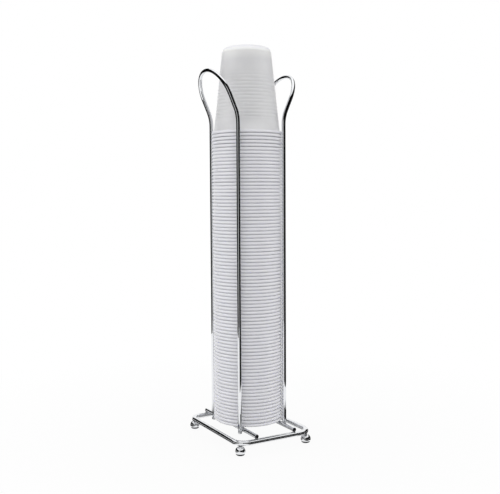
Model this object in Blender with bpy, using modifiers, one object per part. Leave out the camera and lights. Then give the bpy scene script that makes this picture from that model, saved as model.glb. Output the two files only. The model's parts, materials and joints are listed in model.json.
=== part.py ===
"""Cup dispenser: a chromed wire rack that holds a tall column of nested drinking cups.

Units are metres and +Z is up.  The origin is on the floor, under the middle of the rack.
One hoop stands at -X and one at +X.  The cups stand between them, nested upside down,
and their rims rest on the two cross bars.
"""

import math

import bmesh
import bpy

# Cups: one cup, and how it nests over the next.
CUP_RIM_DIAMETER = 0.070
CUP_HEIGHT = 0.085
CUP_WALL = 0.0002
CUP_BASE_THICKNESS = 0.0004
CUP_LIP_REACH = 0.0023
CUP_SHOULDER_RADIUS = 0.0035
NEST_PITCH = 0.003375
NEST_CLEARANCE = 0.00016
LIP_CLEARANCE = 0.0004
LIP_CREST_SHARE = 0.45

# How many cups there are.  The lowest cup and the last few at the top are pieces of their own.
CUP_COUNT = 86
NESTED_SLEEVES = 8
UPPER_CUPS = ("cup_fifth", "cup_fourth", "cup_third", "cup_second", "cup_top")

# Rack: wires, ball feet and the gap that welded pieces keep.
HOOP_WIRE = 0.004
BAR_WIRE = 0.004
FRAME_WIRE = 0.005
WELD_GAP = 0.0003
BALL_DIAMETER = 0.010
BALL_FLAT_DIAMETER = 0.0030

# Hoops: where the legs stand round the cups, and the loop that leans out above the rims.
LEG_ANGLE = math.radians(47.6)
LEG_CLEARANCE = 0.0009
LEG_TAIL = 0.0012
LEAN_RISE = 0.0163
LEAN_ANGLE = math.radians(24)
LEAN_LENGTH = 0.0198
LEAN_BEND_RADIUS = 0.035

# Base frame, measured out from the hoops' legs to the middle of its wire.
FRAME_SIDE_MARGIN = 0.0148
FRAME_END_MARGIN = 0.0243
FRAME_CORNER_RADIUS = 0.011
BAR_OVERHANG = 0.0013

# How finely round shapes are faceted.
CUP_SIDES = 20
TOP_CUP_SIDES = 2 * CUP_SIDES
SHOULDER_STEPS = 3
BALL_SIDES = 16
BALL_RINGS = 8
ARCH_STEPS = 18
BEND_STEPS = 4
CORNER_STEPS = 6
WIRE_RESOLUTION = 3
MERGE_DISTANCE = 0.00001

# Finishes: colour, metallic value and roughness.
CHROME = ((0.80, 0.81, 0.83, 1.0), 1.0, 0.07)
CUP_PLASTIC = ((0.84, 0.85, 0.88, 1.0), 0.0, 0.32)

# Heights, from the floor up.
ball_radius = BALL_DIAMETER / 2
ball_centre_z = math.sqrt(ball_radius ** 2 - (BALL_FLAT_DIAMETER / 2) ** 2)
frame_z = ball_centre_z + ball_radius + WELD_GAP + FRAME_WIRE / 2
bar_z = frame_z + FRAME_WIRE / 2 + WELD_GAP + BAR_WIRE / 2
first_rim_z = bar_z + BAR_WIRE / 2 + WELD_GAP
top_rim_z = first_rim_z + (CUP_COUNT - 1) * NEST_PITCH
lean_z = top_rim_z + LEAN_RISE
leg_end_z = bar_z - BAR_WIRE / 2 - LEG_TAIL

# Cup radii: the wall's slope is what lets one cup slip over the next at the nest pitch.
rim_radius = CUP_RIM_DIAMETER / 2
lip_height = NEST_PITCH - LIP_CLEARANCE
wall_slope = (CUP_WALL + NEST_CLEARANCE) / NEST_PITCH
wall_foot_radius = rim_radius - CUP_LIP_REACH
base_radius = wall_foot_radius - wall_slope * (CUP_HEIGHT - lip_height)
mouth_radius = wall_foot_radius + wall_slope * lip_height - CUP_WALL
inside_height = CUP_HEIGHT - CUP_BASE_THICKNESS
inside_radius = mouth_radius - wall_slope * inside_height

# Places of the wires, seen from above.
leg_distance = rim_radius + LEG_CLEARANCE + HOOP_WIRE / 2
hoop_x = leg_distance * math.cos(LEG_ANGLE)
leg_y = leg_distance * math.sin(LEG_ANGLE)
bar_x = hoop_x - HOOP_WIRE / 2 - WELD_GAP - BAR_WIRE / 2
frame_x = hoop_x + FRAME_SIDE_MARGIN
frame_y = leg_y + FRAME_END_MARGIN
corner_inset = FRAME_CORNER_RADIUS * (1 - math.cos(math.pi / 4))


def clear_scene():
    """Remove whatever the scene holds."""
    for obj in list(bpy.data.objects):
        bpy.data.objects.remove(obj, do_unlink=True)


def new_collection(name):
    """Make a collection in the scene."""
    collection = bpy.data.collections.new(name)
    bpy.context.scene.collection.children.link(collection)
    return collection


def new_material(name, finish):
    """Make a Principled material from a finish."""
    colour, metallic, roughness = finish
    material = bpy.data.materials.new(name)
    material.use_nodes = True
    shader = material.node_tree.nodes["Principled BSDF"]
    shader.inputs["Base Color"].default_value = colour
    shader.inputs["Metallic"].default_value = metallic
    shader.inputs["Roughness"].default_value = roughness
    material.diffuse_color = colour
    return material


def new_empty(name, collection, location, parent=None):
    """Make an empty that carries a group of pieces."""
    empty = bpy.data.objects.new(name, None)
    collection.objects.link(empty)
    empty.location = location
    empty.parent = parent
    return empty


def place(obj, collection, parent, location, finish):
    """Put an object in its collection, at its place under its parent, with its own material."""
    collection.objects.link(obj)
    obj.parent = parent
    obj.location = location
    obj.data.materials.clear()
    obj.data.materials.append(new_material(obj.name + "_finish", finish))
    return obj


def wire(name, points, diameter, closed=False):
    """Make a round wire along the points, with filled ends unless it is a closed loop."""
    curve = bpy.data.curves.new(name, "CURVE")
    curve.dimensions = "3D"
    curve.bevel_depth = diameter / 2
    curve.bevel_resolution = WIRE_RESOLUTION
    curve.use_fill_caps = not closed
    curve.twist_mode = "MINIMUM"
    spline = curve.splines.new("POLY")
    spline.points.add(len(points) - 1)
    for target, point in zip(spline.points, points):
        target.co = (*point, 1)
    spline.use_cyclic_u = closed
    spline.use_smooth = True
    return bpy.data.objects.new(name, curve)


def base_frame_points():
    """Middle line of the base frame: a rectangle with round corners, in its own plane."""
    points = []
    straight_x = frame_x - FRAME_CORNER_RADIUS
    straight_y = frame_y - FRAME_CORNER_RADIUS
    for quarter, (sign_x, sign_y) in enumerate(((1, 1), (-1, 1), (-1, -1), (1, -1))):
        for step in range(CORNER_STEPS + 1):
            angle = (quarter + step / CORNER_STEPS) * math.pi / 2
            x = sign_x * straight_x + FRAME_CORNER_RADIUS * math.cos(angle)
            y = sign_y * straight_y + FRAME_CORNER_RADIUS * math.sin(angle)
            points.append((x, y, 0))
    return points


def hoop_points(side):
    """Middle line of a hoop, from one leg's end up, over the leaning loop and down again.

    The line starts from the hoop's own origin, which is midway between its legs at the
    height where they begin to lean.  The loop leans out to the side, away from the cups.
    """
    bend_reach = LEAN_BEND_RADIUS * math.tan(LEAN_ANGLE / 2)
    out_z = [(0, leg_end_z - lean_z)]
    for step in range(BEND_STEPS + 1):
        turn = LEAN_ANGLE * step / BEND_STEPS
        out = LEAN_BEND_RADIUS * (1 - math.cos(turn))
        up = LEAN_BEND_RADIUS * math.sin(turn) - bend_reach
        out_z.append((out, up))
    leg = [(side * out, leg_y, z) for out, z in out_z]
    arch = []
    for step in range(ARCH_STEPS + 1):
        turn = math.pi * step / ARCH_STEPS
        along = LEAN_LENGTH + leg_y * math.sin(turn)
        out = along * math.sin(LEAN_ANGLE)
        up = along * math.cos(LEAN_ANGLE)
        arch.append((side * out, leg_y * math.cos(turn), up))
    other_leg = [(x, -y, z) for x, y, z in reversed(leg)]
    return leg + arch + other_leg


def ball_mesh(name):
    """Make a ball whose underside is ground flat where it stands on the floor."""
    bm = bmesh.new()
    bmesh.ops.create_uvsphere(bm, u_segments=BALL_SIDES, v_segments=BALL_RINGS, radius=ball_radius)
    cut = bmesh.ops.bisect_plane(
        bm,
        geom=bm.verts[:] + bm.edges[:] + bm.faces[:],
        plane_co=(0, 0, -ball_centre_z),
        plane_no=(0, 0, 1),
        clear_inner=True,
    )
    rim_edges = [item for item in cut["geom_cut"] if isinstance(item, bmesh.types.BMEdge)]
    bmesh.ops.holes_fill(bm, edges=rim_edges, sides=BALL_SIDES)
    bmesh.ops.recalc_face_normals(bm, faces=bm.faces[:])
    mesh = bpy.data.meshes.new(name)
    bm.to_mesh(mesh)
    bm.free()
    mesh.shade_smooth()
    mesh.set_sharp_from_angle(angle=math.pi / 6)
    return mesh


def shoulder_points(base_z):
    """Round edge between a cup's closed base and its wall, from the base outwards."""
    sweep = math.pi / 2 - math.atan(wall_slope)
    centre_x = base_radius - CUP_SHOULDER_RADIUS * math.tan(sweep / 2)
    centre_z = base_z - CUP_SHOULDER_RADIUS
    points = []
    for step in range(SHOULDER_STEPS + 1):
        turn = sweep * step / SHOULDER_STEPS
        x = centre_x + CUP_SHOULDER_RADIUS * math.sin(turn)
        z = centre_z + CUP_SHOULDER_RADIUS * math.cos(turn)
        points.append((x, z))
    return points


def nest_profile(cups, round_shoulder=False):
    """Half section of upside-down cups pushed together: one cup, or a sleeve of several.

    It runs from the middle of the highest closed base, down the outside over every lip, and
    back up the inside of the lowest cup.  Height zero is the lowest rim's bottom edge.
    A sleeve gathers all of its cups' bases in one, under its top.
    """
    base_z = (cups - 1) * NEST_PITCH + CUP_HEIGHT
    outer = [(0, base_z)]
    if round_shoulder:
        outer += shoulder_points(base_z)
    else:
        outer.append((base_radius, base_z))
    outer.append((wall_foot_radius, base_z - CUP_HEIGHT + lip_height))
    for cup in reversed(range(cups)):
        rim_z = cup * NEST_PITCH
        outer.append((rim_radius, rim_z + lip_height * LIP_CREST_SHARE))
        if cup > 0:
            outer.append((wall_foot_radius, rim_z - LIP_CLEARANCE / 2))

    inner = [(mouth_radius, 0)]
    ceiling_z = base_z - cups * CUP_BASE_THICKNESS
    if round_shoulder:
        shoulder_z = base_z - CUP_SHOULDER_RADIUS
        inner.append((mouth_radius - wall_slope * shoulder_z, shoulder_z))
        inner.append((base_radius - CUP_SHOULDER_RADIUS, ceiling_z))
    else:
        inner.append((inside_radius, inside_height))
        if cups > 1:
            inner.append((inside_radius, ceiling_z))
    inner.append((0, ceiling_z))
    return outer + inner


def cup_object(name, sides, cups=1, round_shoulder=False):
    """Turn a profile of one or more nested cups about the column's axis."""
    profile = nest_profile(cups, round_shoulder)
    mesh = bpy.data.meshes.new(name)
    vertices = [(x, 0, z) for x, z in profile]
    edges = [(index, index + 1) for index in range(len(profile) - 1)]
    mesh.from_pydata(vertices, edges, [])
    obj = bpy.data.objects.new(name, mesh)
    screw = obj.modifiers.new("turn", "SCREW")
    screw.axis = "Z"
    screw.angle = 2 * math.pi
    screw.steps = sides
    screw.render_steps = sides
    screw.use_merge_vertices = True
    screw.merge_threshold = MERGE_DISTANCE
    screw.use_smooth_shade = True
    return obj


def build_rack(collection):
    """Make the base frame, its ball feet, the cross bars and the hoops."""
    rack = new_empty("rack_origin", collection, (0, 0, 0))
    frame = wire("base_frame", base_frame_points(), FRAME_WIRE, closed=True)
    place(frame, collection, rack, (0, 0, frame_z), CHROME)

    ball_x = frame_x - corner_inset
    ball_y = frame_y - corner_inset
    for end, sign_y in (("front", -1), ("back", 1)):
        for side, sign_x in (("left", -1), ("right", 1)):
            name = f"ball_foot_{end}_{side}"
            ball = bpy.data.objects.new(name, ball_mesh(name))
            place(ball, collection, rack, (sign_x * ball_x, sign_y * ball_y, ball_centre_z), CHROME)

    bar_half = frame_y + BAR_OVERHANG
    for side, sign_x in (("left", -1), ("right", 1)):
        bar = wire(f"cross_bar_{side}", [(0, -bar_half, 0), (0, bar_half, 0)], BAR_WIRE)
        place(bar, collection, rack, (sign_x * bar_x, 0, bar_z), CHROME)
        hoop = wire(f"hoop_{side}", hoop_points(sign_x), HOOP_WIRE)
        place(hoop, collection, rack, (sign_x * hoop_x, 0, lean_z), CHROME)


def build_cups(collection):
    """Make the column: the lowest cup, the nested sleeves, then the cups that come off first."""
    column = new_empty("cup_column_axis", collection, (0, 0, first_rim_z))
    lowest = cup_object("cup_bottom", CUP_SIDES)
    place(lowest, collection, column, (0, 0, 0), CUP_PLASTIC)
    placed = 1
    nested = CUP_COUNT - 1 - len(UPPER_CUPS)
    for sleeve in range(NESTED_SLEEVES):
        cups = (nested + 1 - placed) // (NESTED_SLEEVES - sleeve)
        body = cup_object(f"nested_cups_{sleeve + 1}", CUP_SIDES, cups)
        place(body, collection, column, (0, 0, placed * NEST_PITCH), CUP_PLASTIC)
        placed += cups
    below = column
    rise = placed * NEST_PITCH
    for name in UPPER_CUPS:
        is_top = name == UPPER_CUPS[-1]
        sides = TOP_CUP_SIDES if is_top else CUP_SIDES
        cup = cup_object(name, sides, round_shoulder=is_top)
        place(cup, collection, below, (0, 0, rise), CUP_PLASTIC)
        below = cup
        rise = NEST_PITCH


def main():
    clear_scene()
    collection = new_collection("cup_dispenser")
    build_rack(collection)
    build_cups(collection)
    bpy.context.view_layer.update()


main()
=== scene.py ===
"""Looks of the cup dispenser: chromed wire, milky plastic cups, a pale floor and studio light."""

import json
import math

import bpy
from mathutils import Matrix, Vector


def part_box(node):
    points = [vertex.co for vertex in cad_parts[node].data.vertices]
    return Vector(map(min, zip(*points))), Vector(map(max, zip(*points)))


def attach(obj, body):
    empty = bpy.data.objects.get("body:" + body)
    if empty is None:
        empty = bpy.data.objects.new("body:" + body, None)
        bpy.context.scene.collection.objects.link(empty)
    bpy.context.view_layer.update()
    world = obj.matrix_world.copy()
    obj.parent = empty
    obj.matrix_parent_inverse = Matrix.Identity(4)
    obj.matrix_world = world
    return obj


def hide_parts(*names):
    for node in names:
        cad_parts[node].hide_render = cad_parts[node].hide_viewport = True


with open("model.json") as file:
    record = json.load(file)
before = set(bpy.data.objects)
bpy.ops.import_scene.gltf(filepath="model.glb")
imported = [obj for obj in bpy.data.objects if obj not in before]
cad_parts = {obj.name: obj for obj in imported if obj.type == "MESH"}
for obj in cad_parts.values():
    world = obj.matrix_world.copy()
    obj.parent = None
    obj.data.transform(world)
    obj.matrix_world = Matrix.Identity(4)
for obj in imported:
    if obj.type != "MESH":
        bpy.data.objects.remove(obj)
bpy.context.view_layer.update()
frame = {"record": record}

# Lengths are in metres, and angles are typed in degrees.  The rack's sides and ends are given
# with the sign of their place: left is -X and front is -Y.
SIDES = {"left": -1, "right": 1}
ENDS = {"front": -1, "back": 1}
QUARTER_TURN = 90
HALF_TURN = 180

# Camera, fitted to marks in the photograph.  The lens and the sensor are in millimetres.
CAMERA_AZIMUTH = 29.66
CAMERA_DISTANCE = 0.775
CAMERA_HEIGHT = 0.2492
CAMERA_TILT = 4.06
CAMERA_TURN = 0.177
CAMERA_ROLL = -0.31
CAMERA_LENS = 55.5
SENSOR_WIDTH = 36.0

# Wires.  The legs lean out at LEAN_RISE above the top cup's rim.  WIRE_EASE keeps the wires
# inside the CAD model's box, and a guard point keeps the shading even beside a bend.
HOOP_WIRE = 0.004
BAR_WIRE = 0.004
FRAME_WIRE = 0.005
FRAME_CORNER_RADIUS = 0.011
LEAN_RISE = 0.0163
LEAN_ANGLE = math.radians(24)
LEAN_LENGTH = 0.0198
LEAN_BEND_RADIUS = 0.035
WIRE_EASE = 0.00002
WIRE_END_CHAMFER = 0.0005
WIRE_END_GUARD = 0.001
WIRE_SIDES = 32
CHAMFER_SHARES = (0.3, 0.6, 1)
FRAME_CORNER_STEPS = 24
BEND_STEPS = 8
ARCH_STEPS = 64
BALL_RINGS = 24
BALL_SIDES = 48

# Weld beads.  WELD_SHAPE pairs a distance along the bead with its radius there.
WELD_SIDES = 24
WELD_SHAPE = (
    (-0.0011, 0.0012),
    (-0.0007, 0.00175),
    (-0.0003, 0.0014),
    (0.0, 0.0013),
    (0.0003, 0.0014),
    (0.0007, 0.00175),
    (0.0011, 0.0012),
)

# Cups.
CUP_HEIGHT = 0.085
CUP_WALL = 0.0002
CUP_BASE_THICKNESS = 0.0004
CUP_SHOULDER_RADIUS = 0.0055
CUP_LIP_REACH = 0.0023
CUP_SIDES = 96
CUPS_PER_SLEEVE = 10
NEST_PITCH = 0.003375
NEST_CLEARANCE = 0.00016
ARC_STEPS = 10
MERGE_DISTANCE = 0.000001

# Lips.  The bead is the rolled edge, and its radius is a share of the lip's height.
LIP_CLEARANCE = 0.0004
LIP_BEAD_SHARE = 0.48
LIP_BEAD_START = 85
LIP_BEAD_END = -75
LIP_FILLET = 0.0001
LIP_GROOVE = 0.0002

# Dish in a cup's base.  DISH_SHAPE pairs a share of the base's radius with one of the depth.
DISH_DEPTH = 0.0008
DISH_SHAPE = ((0.3, 1), (0.58, 1), (0.62, 0.85), (0.65, 0.5), (0.68, 0.15), (0.72, 0))

# Ribs, at the pitch at which they nest.  RIB_SHAPE pairs a share of the pitch with one of the
# depth, and the highest ribs fade out.
RIB_COUNT = 14
RIB_PITCH = NEST_PITCH
RIB_DEPTH = 0.0003
RIB_START = 0.0135
RIB_GUARD = 0.95
RIB_SHAPE = ((0.8, 0.0), (0.62, 0.7), (0.5, 1.0), (0.38, 0.7), (0.2, 0.0))
FADING_RIBS = 5

# Materials.  A noise value from NOISE_LOW to NOISE_HIGH covers each pair of colours or roughnesses.
NOISE_LOW = 0.15
NOISE_HIGH = 0.85
NOISE_DETAIL = 3.0
CHROME_COLOURS = ((0.80, 0.81, 0.83), (0.86, 0.87, 0.885))
CHROME_ROUGHNESS = (0.025, 0.06)
CHROME_HAZE_SCALE = 140.0
CHROME_WAVE_SCALE = 260.0
CHROME_WAVE_DETAIL = 2.0
CHROME_WAVE_HEIGHT = 0.00001
WELD_COLOURS = ((0.32, 0.325, 0.34), (0.50, 0.505, 0.52))
WELD_ROUGHNESS = (0.12, 0.30)
WELD_GRAIN_SCALE = 900.0
WELD_GRAIN_HEIGHT = 0.0001
# The cut ends' near-black colours: duller cut metal, with a painted dark reflection.
CUT_AND_DARK_REFLECTION_COLOURS = ((0.045, 0.045, 0.05), (0.13, 0.13, 0.14))
CUT_ROUGHNESS = (0.25, 0.45)
CUT_MARK_SCALE = 700.0
CUT_MARK_STRETCH = (1, 1, 6)
CUT_MARK_HEIGHT = 0.00005
CUP_COLOURS = ((0.735, 0.735, 0.768), (0.80, 0.80, 0.828))
CUP_ROUGHNESS = (0.26, 0.38)
CUP_CLOUD_SCALE = 60.0
CUP_GRAIN_SCALE = 70.0
CUP_GRAIN_DETAIL = 1.0
CUP_GRAIN_HEIGHT = 0.00004
CUP_GRAIN_STRENGTH = 0.5
CUP_SCATTER = 0.45
CUP_SCATTER_COLOURS = (1.0, 1.0, 1.1)
CUP_SCATTER_LENGTH = 0.0012
CUP_SPECULAR = 0.45

# The shoulder's painted highlight: a lighter colour standing in for light from above, and how far
# under a cup's top it starts and is strongest.
SHOULDER_HIGHLIGHT_COLOUR = (0.95, 0.953, 0.96)
SHOULDER_HIGHLIGHT_DEPTH = 0.014
SHOULDER_HIGHLIGHT_PEAK = 0.0045

# Floor and background.
FLOOR_SIZE = 12.0
FLOOR_COLOUR = 0.6
FLOOR_ROUGHNESS = 0.9
FLOOR_GLOW_NEAR = 0.94
FLOOR_GLOW_FAR = 1.0
FLOOR_FADE_START = 0.06
FLOOR_FADE_END = 0.42
WORLD_FILL = 0.95
WORLD_SEEN = 1.0

# Lamps.  LAMP_LEFT, LAMP_RIGHT and LAMP_TOP are powers in watts.
LAMP_LEFT = 4.9
LAMP_RIGHT = 3.5
LAMP_TOP = 0.8
LAMP_SIDEWAYS = 1.2
LAMP_FORWARD = 0.35
LAMP_RAISE = 0.1
LAMP_TARGET_Z = 0.2
SIDE_LAMP_WIDTH = 0.8
SIDE_LAMP_HEIGHT = 1.1
TOP_LAMP_SIZE = 1.2
TOP_LAMP_Z = 1.6

# Cards.  Seen only in reflections, they paint dark and grey reflections and shade into the chrome.
# Their directions are counted round the object from the camera's, to the right.
# LEAST_SLANT keeps the sums for a direction along an axis from dividing by zero.
CARD_STEPS = 36
CARD_RADIUS = 0.9
CARD_HEIGHT = 0.6
CARD_LIFT = 0.0002
CARD_BACK = 145
DARK_LEVEL = 0.006
DARK_LEFT_START = -34
DARK_LEFT_REACH = 0.6
DARK_RIGHT_START = -4
DARK_RIGHT_REACH = 0.25
# The border cards paint a dark reflection along the base frame.
BORDER_NEAR = 0.004
BORDER_LEFT_FAR = 0.06
BORDER_RIGHT_FAR = 0.09
BORDER_LEFT_START = -22
BORDER_RIGHT_START = 8
# Painted contact shadow round each ball, seen only in the chrome.
FOOT_SHADOW_NEAR = 0.0034
FOOT_SHADOW_FAR = 0.0064
HIGH_CARD_RADIUS = 0.25
HIGH_CARD_LOW = 0.385
HIGH_CARD_HIGH = 0.62
GREY_LEVEL = 0.5
GREY_REACH = 0.7
# Painted shade of the floor under the column, inside the frame, seen only in the chrome.
INSIDE_SHADE_LEVEL = 0.3
INSIDE_SHADE_MARGIN = -0.009
LEAST_SLANT = 0.001


def box_centre(node):
    """Middle of a node's box."""
    low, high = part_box(node)
    return (Vector(low) + Vector(high)) / 2


# Materials.


def new_material(name):
    """A material, its node tree and its shader."""
    material = bpy.data.materials.new(name)
    material.use_nodes = True
    tree = material.node_tree
    return material, tree, tree.nodes["Principled BSDF"]


def noise(tree, scale, detail=NOISE_DETAIL, stretch=(1, 1, 1)):
    """Noise over the object's own coordinates."""
    coordinates = tree.nodes.new("ShaderNodeTexCoord")
    mapping = tree.nodes.new("ShaderNodeMapping")
    mapping.inputs["Scale"].default_value = stretch
    texture = tree.nodes.new("ShaderNodeTexNoise")
    texture.inputs["Scale"].default_value = scale
    texture.inputs["Detail"].default_value = detail
    tree.links.new(coordinates.outputs["Object"], mapping.inputs["Vector"])
    tree.links.new(mapping.outputs["Vector"], texture.inputs["Vector"])
    return texture.outputs["Fac"]


def remap(tree, value, low, high, start=NOISE_LOW, end=NOISE_HIGH):
    """Turn a value between start and end into one between low and high."""
    node = tree.nodes.new("ShaderNodeMapRange")
    node.inputs["From Min"].default_value = start
    node.inputs["From Max"].default_value = end
    node.inputs["To Min"].default_value = low
    node.inputs["To Max"].default_value = high
    tree.links.new(value, node.inputs["Value"])
    return node.outputs["Result"]


def ramp(tree, value, first, second):
    """Blend two colours by a noise value."""
    node = tree.nodes.new("ShaderNodeValToRGB")
    node.color_ramp.elements[0].position = NOISE_LOW
    node.color_ramp.elements[1].position = NOISE_HIGH
    node.color_ramp.elements[0].color = (*first, 1)
    node.color_ramp.elements[1].color = (*second, 1)
    tree.links.new(value, node.inputs["Fac"])
    return node.outputs["Color"]


def combine(tree, operation, first, second):
    """One value from two."""
    node = tree.nodes.new("ShaderNodeMath")
    node.operation = operation
    tree.links.new(first, node.inputs[0])
    tree.links.new(second, node.inputs[1])
    return node.outputs[0]


def bump(tree, shader, height, distance, strength=1.0):
    """Give a surface a fine relief."""
    node = tree.nodes.new("ShaderNodeBump")
    node.inputs["Distance"].default_value = distance
    node.inputs["Strength"].default_value = strength
    tree.links.new(height, node.inputs["Height"])
    tree.links.new(node.outputs["Normal"], shader.inputs["Normal"])


def metal_finish(tree, shader, pattern, colours, roughness):
    """Bare metal whose colour and roughness follow a pattern."""
    shader.inputs["Metallic"].default_value = 1.0
    tree.links.new(ramp(tree, pattern, *colours), shader.inputs["Base Color"])
    tree.links.new(remap(tree, pattern, *roughness), shader.inputs["Roughness"])


def chrome_material():
    """Bright chrome plate over drawn wire: nearly a mirror, with faint haze and waves."""
    material, tree, shader = new_material("chrome_plate")
    haze = noise(tree, CHROME_HAZE_SCALE)
    metal_finish(tree, shader, haze, CHROME_COLOURS, CHROME_ROUGHNESS)
    waves = noise(tree, CHROME_WAVE_SCALE, CHROME_WAVE_DETAIL)
    bump(tree, shader, waves, CHROME_WAVE_HEIGHT)
    return material


def weld_material():
    """Chrome over a weld: duller and uneven."""
    material, tree, shader = new_material("chrome_weld")
    grain = noise(tree, WELD_GRAIN_SCALE)
    metal_finish(tree, shader, grain, WELD_COLOURS, WELD_ROUGHNESS)
    bump(tree, shader, grain, WELD_GRAIN_HEIGHT)
    return material


def cut_and_dark_reflection_material():
    """The cut end of a wire: duller metal with the marks of the shear, and a near-black colour that
    is a painted dark reflection.
    """
    material, tree, shader = new_material("cut_wire_and_dark_reflection")
    marks = noise(tree, CUT_MARK_SCALE, stretch=CUT_MARK_STRETCH)
    metal_finish(tree, shader, marks, CUT_AND_DARK_REFLECTION_COLOURS, CUT_ROUGHNESS)
    bump(tree, shader, marks, CUT_MARK_HEIGHT)
    return material


def painted_shoulder_highlight(tree):
    """Mask of the shoulder's painted highlight: 1 at the height of a cup's shoulder, falling to 0
    on the wall below and on the base.
    """
    coordinates = tree.nodes.new("ShaderNodeTexCoord")
    axes = tree.nodes.new("ShaderNodeSeparateXYZ")
    tree.links.new(coordinates.outputs["Object"], axes.inputs["Vector"])
    height = axes.outputs["Z"]
    rise = remap(tree, height, 0.0, 1.0, -SHOULDER_HIGHLIGHT_DEPTH, -SHOULDER_HIGHLIGHT_PEAK)
    fall = remap(tree, height, 1.0, 0.0, -SHOULDER_HIGHLIGHT_PEAK, -DISH_DEPTH)
    return combine(tree, "MULTIPLY", rise, fall)


def cup_material():
    """Milky translucent plastic with a soft sheen, and a painted highlight that lightens the
    shoulder.
    """
    material, tree, shader = new_material("milky_plastic")
    shader.inputs["Subsurface Weight"].default_value = CUP_SCATTER
    shader.inputs["Subsurface Radius"].default_value = CUP_SCATTER_COLOURS
    shader.inputs["Subsurface Scale"].default_value = CUP_SCATTER_LENGTH
    shader.inputs["Specular IOR Level"].default_value = CUP_SPECULAR
    cloud = ramp(tree, noise(tree, CUP_CLOUD_SCALE), *CUP_COLOURS)
    # Painted highlight: the shoulder's colour is mixed towards a lighter one.
    glow = tree.nodes.new("ShaderNodeMix")
    glow.data_type = "RGBA"
    tree.links.new(painted_shoulder_highlight(tree), glow.inputs["Factor"])
    tree.links.new(cloud, glow.inputs["A"])
    glow.inputs["B"].default_value = (*SHOULDER_HIGHLIGHT_COLOUR, 1)
    tree.links.new(glow.outputs["Result"], shader.inputs["Base Color"])
    grain = noise(tree, CUP_GRAIN_SCALE, CUP_GRAIN_DETAIL)
    tree.links.new(remap(tree, grain, *CUP_ROUGHNESS), shader.inputs["Roughness"])
    bump(tree, shader, grain, CUP_GRAIN_HEIGHT, CUP_GRAIN_STRENGTH)
    return material


CHROME = chrome_material()
WELD = weld_material()
CUT_AND_DARK_REFLECTION = cut_and_dark_reflection_material()
MILKY = cup_material()


def dress(piece, material, slot, body, *nodes):
    """Give a piece its finish, the body it rides on and the CAD nodes that it stands for."""
    piece.data.materials.clear()
    piece.data.materials.append(material)
    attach(piece, body)
    if nodes:
        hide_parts(*nodes)


# Shapes.


def link(name, data):
    """A new object in the scene."""
    obj = bpy.data.objects.new(name, data)
    bpy.context.scene.collection.objects.link(obj)
    return obj


def wire_curve(name, points, diameter, closed=False):
    """A smooth round wire along the points."""
    curve = bpy.data.curves.new(name, "CURVE")
    curve.dimensions = "3D"
    curve.bevel_depth = diameter / 2 - WIRE_EASE
    curve.bevel_resolution = WIRE_SIDES // 4 - 1
    curve.use_fill_caps = not closed
    spline = curve.splines.new("POLY")
    spline.points.add(len(points) - 1)
    for target, point in zip(spline.points, points):
        target.co = (*point, 1)
    spline.use_cyclic_u = closed
    spline.use_smooth = True
    return link(name, curve)


def chamfer_ends(points, diameter):
    """Add the points that a wire's softened ends need, with a radius factor for each point."""
    points = [Vector(point) for point in points]
    small = 1 - 2 * WIRE_END_CHAMFER / diameter
    into = (points[1] - points[0]).normalized()
    back = (points[-2] - points[-1]).normalized()
    start = [points[0], points[0] + into * WIRE_END_CHAMFER, points[0] + into * WIRE_END_GUARD]
    finish = [points[-1] + back * WIRE_END_GUARD, points[-1] + back * WIRE_END_CHAMFER, points[-1]]
    radii = [small, 1, 1, *[1] * (len(points) - 2), 1, 1, small]
    return start + points[1:-1] + finish, radii


def end_softened_wire(name, points, diameter):
    """A round wire whose two ends are chamfered."""
    softened, radii = chamfer_ends(points, diameter)
    piece = wire_curve(name, softened, diameter)
    for point, radius in zip(piece.data.splines[0].points, radii):
        point.radius = radius
    return piece


def round_bar(name, place, axis, shape, sides):
    """A closed round solid along an axis, through rings given by distance and radius."""
    along = Vector(axis)
    side = along.orthogonal().normalized()
    other = along.cross(side)
    vertices = []
    for distance, radius in shape:
        for step in range(sides):
            turn = 2 * math.pi * step / sides
            spoke = side * math.cos(turn) + other * math.sin(turn)
            vertices.append(Vector(place) + along * distance + spoke * radius)
    faces = [tuple(reversed(range(sides)))]
    for row in range(len(shape) - 1):
        low = row * sides
        for step in range(sides):
            nearby = (step + 1) % sides
            faces.append((low + step, low + nearby, low + sides + nearby, low + sides + step))
    last = (len(shape) - 1) * sides
    faces.append(tuple(range(last, last + sides)))
    mesh = bpy.data.meshes.new(name)
    mesh.from_pydata(vertices, [], faces)
    for polygon in mesh.polygons:
        polygon.use_smooth = len(polygon.vertices) == 4
    return link(name, mesh)


def turned(name, profile, sides):
    """Turn a profile in the XZ plane about Z."""
    mesh = bpy.data.meshes.new(name)
    edges = [(index, index + 1) for index in range(len(profile) - 1)]
    mesh.from_pydata([tuple(point) for point in profile], edges, [])
    piece = link(name, mesh)
    screw = piece.modifiers.new("turn", "SCREW")
    screw.axis = "Z"
    screw.angle = 2 * math.pi
    screw.steps = sides
    screw.render_steps = sides
    screw.use_merge_vertices = True
    screw.merge_threshold = MERGE_DISTANCE
    screw.use_smooth_shade = True
    screw.use_normal_calculate = True
    return piece


def arc(centre_x, centre_z, radius, start, end):
    """Points on an arc in the XZ plane, from +X towards +Z."""
    points = []
    for step in range(ARC_STEPS + 1):
        angle = math.radians(start + (end - start) * step / ARC_STEPS)
        points.append((centre_x + radius * math.cos(angle), 0, centre_z + radius * math.sin(angle)))
    return points


# Rack.


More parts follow.
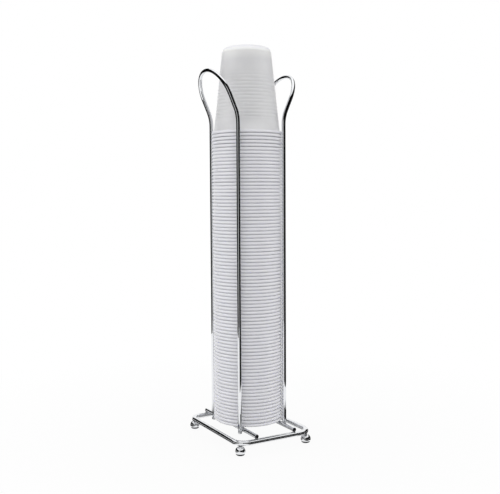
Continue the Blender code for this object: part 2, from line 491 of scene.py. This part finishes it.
def base_frame():
    """One closed wire with round corners."""
    low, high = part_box("base_frame")
    half_x = (high[0] - low[0] - FRAME_WIRE) / 2
    half_y = (high[1] - low[1] - FRAME_WIRE) / 2
    middle_z = (high[2] + low[2]) / 2
    points = []
    for quarter, (sign_x, sign_y) in enumerate(((1, 1), (-1, 1), (-1, -1), (1, -1))):
        for step in range(FRAME_CORNER_STEPS + 1):
            angle = (quarter + step / FRAME_CORNER_STEPS) * math.pi / 2
            x = sign_x * (half_x - FRAME_CORNER_RADIUS) + FRAME_CORNER_RADIUS * math.cos(angle)
            y = sign_y * (half_y - FRAME_CORNER_RADIUS) + FRAME_CORNER_RADIUS * math.sin(angle)
            points.append((x, y, middle_z))
    piece = wire_curve("base_frame_wire", points, FRAME_WIRE, closed=True)
    dress(piece, CHROME, "chrome_wire", "rack", "base_frame")


def cross_bar(side):
    """A straight bar whose cut ends have a softened edge, duller metal and a painted dark
    reflection.
    """
    node = f"cross_bar_{side}"
    low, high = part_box(node)
    half = (high[1] - low[1]) / 2
    radius = BAR_WIRE / 2
    shape = [(-half, radius - WIRE_END_CHAMFER)]
    for share in CHAMFER_SHARES:
        cut_back = WIRE_END_CHAMFER * (1 - share) ** 2
        shape.append((-half + WIRE_END_CHAMFER * share, radius - cut_back))
    shape.append((-half + WIRE_END_GUARD, radius))
    shape += [(-distance, size) for distance, size in reversed(shape)]
    piece = round_bar(f"{node}_wire", box_centre(node), (0, 1, 0), shape, WIRE_SIDES)
    dress(piece, CHROME, "chrome_wire", "rack", node)
    # The cut ends take the dull metal with its painted dark reflection.
    piece.data.materials.append(CUT_AND_DARK_REFLECTION)
    for polygon in piece.data.polygons:
        if abs(polygon.center.y) > half - WIRE_END_CHAMFER:
            polygon.material_index = 1


def leg_place(side):
    """How far a hoop's legs stand from the middle, along X and along Y."""
    low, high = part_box(f"hoop_{side}")
    leg_x = min(abs(low[0]), abs(high[0])) + HOOP_WIRE / 2
    leg_y = (high[1] - low[1] - HOOP_WIRE) / 2
    return leg_x, leg_y


def hoop(side, sign):
    """One bent wire: two legs, the bends where they lean out, and the arch between them."""
    node = f"hoop_{side}"
    leg_x, leg_y = leg_place(side)
    foot_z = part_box(node)[0][2]
    lean_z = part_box("cup_top")[0][2] + LEAN_RISE
    reach = LEAN_BEND_RADIUS * math.tan(LEAN_ANGLE / 2)
    leg = [(sign * leg_x, leg_y, foot_z), (sign * leg_x, leg_y, lean_z - reach - WIRE_END_GUARD)]
    for step in range(BEND_STEPS + 1):
        turn = LEAN_ANGLE * step / BEND_STEPS
        out = LEAN_BEND_RADIUS * (1 - math.cos(turn))
        up = LEAN_BEND_RADIUS * math.sin(turn) - reach
        leg.append((sign * (leg_x + out), leg_y, lean_z + up))
    arch = []
    for step in range(ARCH_STEPS + 1):
        turn = math.pi * step / ARCH_STEPS
        along = LEAN_LENGTH + leg_y * math.sin(turn)
        x = sign * (leg_x + along * math.sin(LEAN_ANGLE))
        arch.append((x, leg_y * math.cos(turn), lean_z + along * math.cos(LEAN_ANGLE)))
    other_leg = [(x, -y, z) for x, y, z in reversed(leg)]
    piece = end_softened_wire(f"{node}_wire", leg + arch + other_leg, HOOP_WIRE)
    dress(piece, CHROME, "chrome_wire", "rack", node)


def ball(node):
    """A turned ball with the small flat that it stands on."""
    low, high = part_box(node)
    centre = box_centre(node)
    radius = (high[0] - low[0]) / 2
    centre_z = high[2] - radius
    flat_angle = math.acos(min(1, (centre_z - low[2]) / radius))
    points = [(0, 0, radius)]
    for ring in range(1, BALL_RINGS + 1):
        turn = (math.pi - flat_angle) * ring / BALL_RINGS
        points.append((radius * math.sin(turn), 0, radius * math.cos(turn)))
    points.append((0, 0, low[2] - centre_z))
    piece = turned(f"{node}_ball", points, BALL_SIDES)
    piece.location = (centre.x, centre.y, centre_z)
    dress(piece, CHROME, "chrome_wire", "rack", node)


def build_rack():
    base_frame()
    for side, sign in SIDES.items():
        cross_bar(side)
        hoop(side, sign)
        for end in ENDS:
            ball(f"ball_foot_{end}_{side}")


def weld_bead(name, place, axis):
    """A waisted neck that runs into the two wires it joins."""
    piece = round_bar(name, place, axis, WELD_SHAPE, WELD_SIDES)
    dress(piece, WELD, "chrome_wire", "rack")


def build_welds():
    """Beads between legs and bars, between bars and frame, and between frame and feet."""
    frame_low, frame_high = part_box("base_frame")
    for side, sign in SIDES.items():
        bar = box_centre(f"cross_bar_{side}")
        bar_low_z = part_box(f"cross_bar_{side}")[0][2]
        leg_x, leg_y = leg_place(side)
        for end, way in ENDS.items():
            beside = (sign * (leg_x + abs(bar.x)) / 2, way * leg_y, bar.z)
            weld_bead(f"weld_leg_{end}_{side}", beside, (1, 0, 0))
            crossing_y = way * (frame_high[1] - FRAME_WIRE / 2)
            crossing = (bar.x, crossing_y, (bar_low_z + frame_high[2]) / 2)
            weld_bead(f"weld_bar_{end}_{side}", crossing, (0, 0, 1))
            foot = box_centre(f"ball_foot_{end}_{side}")
            foot_high_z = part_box(f"ball_foot_{end}_{side}")[1][2]
            above = (foot.x, foot.y, (foot_high_z + frame_low[2]) / 2)
            weld_bead(f"weld_foot_{end}_{side}", above, (0, 0, 1))


# Cups.

cup_low, cup_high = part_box("cup_top")
rim_radius = (cup_high[0] - cup_low[0]) / 2
lip_height = NEST_PITCH - LIP_CLEARANCE
wall_slope = (CUP_WALL + NEST_CLEARANCE) / NEST_PITCH
wall_foot_radius = rim_radius - CUP_LIP_REACH
base_radius = wall_foot_radius - wall_slope * (CUP_HEIGHT - lip_height)


def wall_radius(height):
    """Outside radius of a cup's wall at a height above its rim's bottom edge."""
    return wall_foot_radius - wall_slope * (height - lip_height)


def lip_points(rim_z):
    """A lip from the wall's foot out to its rolled edge and back in under it."""
    bead = lip_height * LIP_BEAD_SHARE
    return [
        (wall_foot_radius + LIP_FILLET, 0, rim_z + lip_height),
        *arc(rim_radius - bead, rim_z + bead, bead, LIP_BEAD_START, LIP_BEAD_END),
    ]


def ribbed_wall(rim_z, inset):
    """The wall from the shoulder down to the lip, with its shallow moulded ribs."""

    def wall_point(level, depth=0.0):
        return (wall_radius(level) - inset - depth, 0, rim_z + level)

    points = [wall_point(RIB_START + (RIB_COUNT - 1 + RIB_GUARD) * RIB_PITCH)]
    for rib in reversed(range(RIB_COUNT)):
        depth = RIB_DEPTH * min(1, (RIB_COUNT - rib) / FADING_RIBS)
        for share, depth_share in RIB_SHAPE:
            points.append(wall_point(RIB_START + (rib + share) * RIB_PITCH, depth * depth_share))
    points.append(wall_point(RIB_START + (1 - RIB_GUARD) * RIB_PITCH))
    return points


def shoulder_points(base_z):
    """The round shoulder from the base out to the wall."""
    radius = CUP_SHOULDER_RADIUS
    slant = math.degrees(math.atan(wall_slope))
    reach = radius * math.tan(math.radians((QUARTER_TURN - slant) / 2))
    return arc(base_radius - reach, base_z - radius, radius, QUARTER_TURN, slant)


def base_points(base_z):
    """A cup's base, from its middle outwards, with the shallow dish in it."""
    points = [(0, 0, base_z - DISH_DEPTH)]
    for share, depth_share in DISH_SHAPE:
        points.append((base_radius * share, 0, base_z - DISH_DEPTH * depth_share))
    return points


def nest_profile(cups):
    """Half section of nested cups, from the middle of the base to the inside of the lowest cup."""
    base_z = (cups - 1) * NEST_PITCH + CUP_HEIGHT
    points = base_points(base_z) + shoulder_points(base_z) + ribbed_wall(base_z - CUP_HEIGHT, 0)
    for cup in reversed(range(cups)):
        points += lip_points(cup * NEST_PITCH)
        if cup:
            points.append((wall_foot_radius - LIP_GROOVE, 0, cup * NEST_PITCH - LIP_CLEARANCE / 2))
    inside_foot = wall_foot_radius - CUP_WALL + wall_slope * lip_height
    inside_z = CUP_HEIGHT - CUP_SHOULDER_RADIUS
    ceiling_z = CUP_HEIGHT - CUP_BASE_THICKNESS
    points.append((inside_foot, 0, 0))
    points += reversed(ribbed_wall(0, CUP_WALL))
    points.append((inside_foot - wall_slope * inside_z, 0, inside_z))
    points.append((base_radius - CUP_SHOULDER_RADIUS, 0, ceiling_z))
    points += reversed(base_points(ceiling_z))
    return points


def cup_piece(node, body, cups=1):
    """Nested cups whose origin is at the top, where the plastic is thinnest and the painted
    highlight makes it lightest.
    """
    height = (cups - 1) * NEST_PITCH + CUP_HEIGHT
    profile = [(x, y, z - height) for x, y, z in nest_profile(cups)]
    piece = turned(f"{node}_shell", profile, CUP_SIDES)
    piece.location.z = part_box(node)[0][2] + height
    dress(piece, MILKY, "cup_plastic", body, node)


def build_cups():
    bodies = frame["record"]["behaviour"]["bodies"]
    for body, nodes in bodies.items():
        for node in nodes:
            if node.startswith("nested_cups"):
                cup_piece(node, body, CUPS_PER_SLEEVE)
            elif node.startswith("cup_"):
                cup_piece(node, body)


# Studio.


def view_axes():
    """Directions away from the camera and to its right, on the floor."""
    azimuth = math.radians(CAMERA_AZIMUTH)
    ahead = Vector((math.sin(azimuth), math.cos(azimuth), 0))
    right = Vector((math.cos(azimuth), -math.sin(azimuth), 0))
    return ahead, right


def add_camera():
    """The camera at the photograph's angle."""
    azimuth = math.radians(CAMERA_AZIMUTH)
    camera = link("camera", bpy.data.cameras.new("camera"))
    camera.data.lens = CAMERA_LENS
    camera.data.sensor_width = SENSOR_WIDTH
    place = Vector((-math.sin(azimuth), -math.cos(azimuth), 0)) * CAMERA_DISTANCE
    place.z = CAMERA_HEIGHT
    heading = Matrix.Rotation(-azimuth - math.radians(CAMERA_TURN), 4, "Z")
    tilt = Matrix.Rotation(math.radians(QUARTER_TURN - CAMERA_TILT), 4, "X")
    roll = Matrix.Rotation(math.radians(CAMERA_ROLL), 4, "Z")
    camera.matrix_world = Matrix.Translation(place) @ heading @ tilt @ roll
    bpy.context.scene.camera = camera


def add_lamp(name, place, target, width, height, power):
    """A soft rectangular lamp that faces a target."""
    data = bpy.data.lights.new(name, "AREA")
    data.shape = "RECTANGLE"
    data.size = width
    data.size_y = height
    data.energy = power
    lamp = link(name, data)
    lamp.location = place
    lamp.rotation_euler = (target - place).to_track_quat("-Z", "Y").to_euler()


def add_lamps():
    """One lamp at each side, towards the camera, and a faint one above."""
    ahead, right = view_axes()
    middle = Vector((0, 0, LAMP_TARGET_Z))
    forward = Vector((0, 0, LAMP_RAISE)) - ahead * LAMP_FORWARD
    left_place = middle - right * LAMP_SIDEWAYS + forward
    right_place = middle + right * LAMP_SIDEWAYS + forward
    top_place = Vector((0, 0, TOP_LAMP_Z))
    add_lamp("lamp_left", left_place, middle, SIDE_LAMP_WIDTH, SIDE_LAMP_HEIGHT, LAMP_LEFT)
    add_lamp("lamp_right", right_place, middle, SIDE_LAMP_WIDTH, SIDE_LAMP_HEIGHT, LAMP_RIGHT)
    add_lamp("lamp_top", top_place, middle, TOP_LAMP_SIZE, TOP_LAMP_SIZE, LAMP_TOP)


def seen_directly(tree):
    """1 for camera, glossy and transmission rays, which see the background as it is."""
    path = tree.nodes.new("ShaderNodeLightPath").outputs
    seen = combine(tree, "MAXIMUM", path["Is Camera Ray"], path["Is Glossy Ray"])
    return combine(tree, "MAXIMUM", seen, path["Is Transmission Ray"])


def add_world():
    """White where it is seen, and a little less as a light."""
    world = bpy.data.worlds.new("studio")
    bpy.context.scene.world = world
    world.use_nodes = True
    tree = world.node_tree
    background = tree.nodes["Background"]
    background.inputs["Color"].default_value = (1, 1, 1, 1)
    strength = remap(tree, seen_directly(tree), WORLD_FILL, WORLD_SEEN, 0.0, 1.0)
    tree.links.new(strength, background.inputs["Strength"])


def floor_glow(tree):
    """How far the floor melts into the background, by the distance from the object."""
    coordinates = tree.nodes.new("ShaderNodeTexCoord")
    distance = tree.nodes.new("ShaderNodeVectorMath")
    distance.operation = "LENGTH"
    tree.links.new(coordinates.outputs["Object"], distance.inputs[0])
    away = distance.outputs["Value"]
    glow = remap(tree, away, FLOOR_GLOW_NEAR, FLOOR_GLOW_FAR, FLOOR_FADE_START, FLOOR_FADE_END)
    return combine(tree, "MULTIPLY", glow, seen_directly(tree))


def add_floor():
    """A pale floor that melts into the background and keeps a faint shadow of the object."""
    bpy.ops.mesh.primitive_plane_add(size=FLOOR_SIZE)
    floor = bpy.context.object
    floor.name = "floor"
    material, tree, shader = new_material("pale_floor")
    shader.inputs["Base Color"].default_value = (FLOOR_COLOUR, FLOOR_COLOUR, FLOOR_COLOUR, 1)
    shader.inputs["Roughness"].default_value = FLOOR_ROUGHNESS
    shader.inputs["Specular IOR Level"].default_value = 0.0
    emission = tree.nodes.new("ShaderNodeEmission")
    mix = tree.nodes.new("ShaderNodeMixShader")
    tree.links.new(floor_glow(tree), mix.inputs["Fac"])
    tree.links.new(shader.outputs["BSDF"], mix.inputs[1])
    tree.links.new(emission.outputs["Emission"], mix.inputs[2])
    tree.links.new(mix.outputs["Shader"], tree.nodes["Material Output"].inputs["Surface"])
    floor.data.materials.append(material)


def card_mesh(name, start, end, edges, centre):
    """A bent sheet between two directions, through edges given by distance and height.

    A distance is a number, or a function of the direction.
    """
    ahead, right = view_axes()
    vertices = []
    for step in range(CARD_STEPS + 1):
        angle = math.radians(start + (end - start) * step / CARD_STEPS)
        direction = right * math.sin(angle) - ahead * math.cos(angle)
        for distance, height in edges:
            place = direction * (distance(direction) if callable(distance) else distance)
            vertices.append((centre[0] + place.x, centre[1] + place.y, height))
    faces = []
    for step in range(CARD_STEPS):
        for row in range(len(edges) - 1):
            corner = len(edges) * step + row
            faces.append((corner, corner + 1, corner + 1 + len(edges), corner + len(edges)))
    mesh = bpy.data.meshes.new(name)
    mesh.from_pydata(vertices, [], faces)
    return mesh


def card_material(name, level):
    """An even glow."""
    material, tree, shader = new_material(name)
    tree.nodes.remove(shader)
    emission = tree.nodes.new("ShaderNodeEmission")
    emission.inputs["Strength"].default_value = level
    tree.links.new(emission.outputs["Emission"], tree.nodes["Material Output"].inputs["Surface"])
    return material


def add_card(name, start, end, level, edges, centre=(0, 0, 0)):
    """A card that only glossy rays see, which paints a reflection."""
    card = link(name, card_mesh(name, start, end, edges, centre))
    card.data.materials.append(card_material(name, level))
    card.visible_camera = False
    card.visible_diffuse = False
    card.visible_transmission = False
    card.visible_shadow = False


def outside_frame(margin):
    """Distance from the middle to a line round the base frame, for any direction."""
    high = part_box("base_frame")[1]

    def distance(direction):
        reach_x = (high[0] + margin) / max(abs(direction.x), LEAST_SLANT)
        reach_y = (high[1] + margin) / max(abs(direction.y), LEAST_SLANT)
        return min(reach_x, reach_y)

    return distance


def standing_card(name, start, end, level, reach):
    """A card that lies on the floor from its reach outwards and then stands up."""
    edges = [(reach, CARD_LIFT), (CARD_RADIUS, CARD_LIFT), (CARD_RADIUS, CARD_HEIGHT)]
    add_card(name, start, end, level, edges)


def border_card(name, start, end, far):
    """A dark card on the floor along the base frame, seen only in the chrome: a painted dark
    reflection.
    """
    edges = [(outside_frame(BORDER_NEAR), CARD_LIFT), (outside_frame(far), CARD_LIFT)]
    add_card(name, start, end, DARK_LEVEL, edges)


def round_card(name, level, near, far, centre=(0, 0, 0)):
    """A card on the floor all round a place."""
    add_card(name, -HALF_TURN, HALF_TURN, level, [(near, CARD_LIFT), (far, CARD_LIFT)], centre)


def add_cards():
    """Cards round the object that only the chrome mirrors: painted reflections of dark and grey
    surroundings, painted contact shadow round the feet and painted shade under the column.
    """
    standing_card("dark_card_left", -CARD_BACK, DARK_LEFT_START, DARK_LEVEL, DARK_LEFT_REACH)
    standing_card("grey_card", DARK_LEFT_START, DARK_RIGHT_START, GREY_LEVEL, GREY_REACH)
    standing_card("dark_card_right", DARK_RIGHT_START, CARD_BACK, DARK_LEVEL, DARK_RIGHT_REACH)
    border_card("dark_border_left", -CARD_BACK, BORDER_LEFT_START, BORDER_LEFT_FAR)
    border_card("dark_border_right", BORDER_RIGHT_START, CARD_BACK, BORDER_RIGHT_FAR)
    # Dark rings round each ball: a painted contact shadow that only the balls' chrome mirrors.
    for end in ENDS:
        for side in SIDES:
            foot = box_centre(f"ball_foot_{end}_{side}")
            round_card(f"foot_shadow_card_{end}_{side}", DARK_LEVEL, FOOT_SHADOW_NEAR, FOOT_SHADOW_FAR, foot)
    # A grey card inside the frame: painted shade of the floor under the column, seen only in the
    # chrome.
    round_card("shade_card_inside", INSIDE_SHADE_LEVEL, 0, outside_frame(INSIDE_SHADE_MARGIN))
    high = [(HIGH_CARD_RADIUS, HIGH_CARD_LOW), (HIGH_CARD_RADIUS, HIGH_CARD_HIGH)]
    add_card("dark_card_high", -CARD_BACK, CARD_BACK, DARK_LEVEL, high)


add_camera()
add_world()
add_lamps()
add_floor()
add_cards()
build_rack()
build_welds()
build_cups()
bpy.context.scene.view_settings.view_transform = "Standard"
